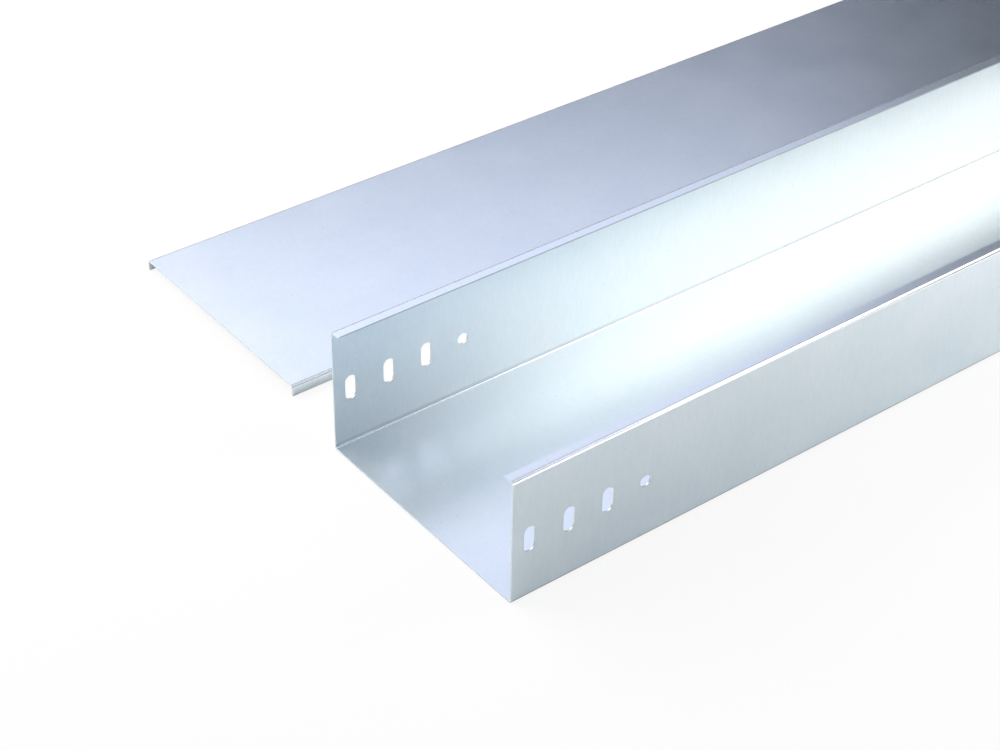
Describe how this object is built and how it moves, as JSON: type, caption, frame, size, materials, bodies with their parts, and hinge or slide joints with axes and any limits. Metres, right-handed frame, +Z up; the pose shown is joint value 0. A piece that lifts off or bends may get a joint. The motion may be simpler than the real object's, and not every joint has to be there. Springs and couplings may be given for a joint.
{
  "type": "cable trunking",
  "caption": "Straight length of cable trunking: a folded steel trough with inturned lips and splice slots at its ends, and its shallow flanged lid lying beside it.",
  "frame": {"origin": "middle of the trough's underside, on the floor", "axes": "+X along the stock, +Y from the front wall to the rear wall and on to the lid, +Z up"},
  "size_m": [2.0095, 0.4724, 0.1],
  "materials": {
    "zinc_coated_steel": "satin"
  },
  "bodies": {
    "root": {"trough": "zinc_coated_steel", "lid": "zinc_coated_steel"}
  },
  "joints": []
}
